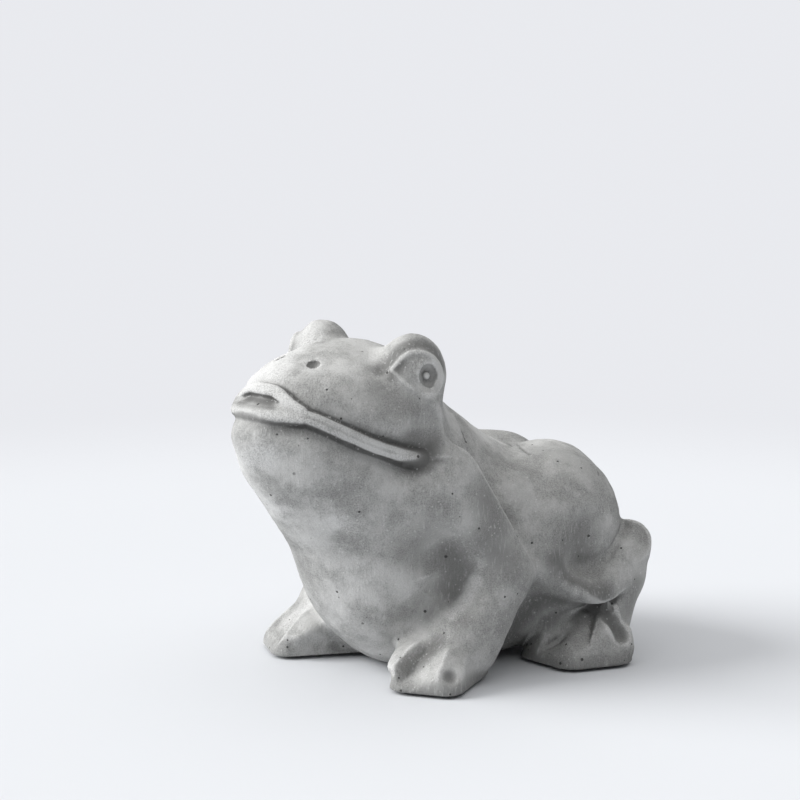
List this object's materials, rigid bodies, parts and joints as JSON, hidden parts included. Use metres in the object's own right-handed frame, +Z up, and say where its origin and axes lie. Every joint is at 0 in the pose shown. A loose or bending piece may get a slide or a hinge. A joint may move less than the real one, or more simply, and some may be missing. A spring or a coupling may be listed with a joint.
{
  "type": "frog ornament",
  "caption": "Squatting garden frog cast in grey cement, a hollow shell closed by a plate under the belly, standing on felt pads.",
  "frame": {"origin": "on the ground under the middle of the frog's length, on its mirror plane", "axes": "+Z up, the frog faces -Y, its left side is +X"},
  "size_m": [0.1666, 0.209, 0.1685],
  "materials": {
    "cement": "matte cast cement with pale bloom, dark pores and brushed streaks",
    "plate_cement": "matte trowelled cement",
    "mortar": "matte sandy mortar",
    "felt": "dense dark grey felt"
  },
  "bodies": {
    "root": {"frog_casting": "cement", "belly_plate": "plate_cement", "plate_mortar": "mortar", "front_left_pad": "felt", "front_right_pad": "felt", "hind_left_pad": "felt", "hind_right_pad": "felt"}
  },
  "joints": []
}
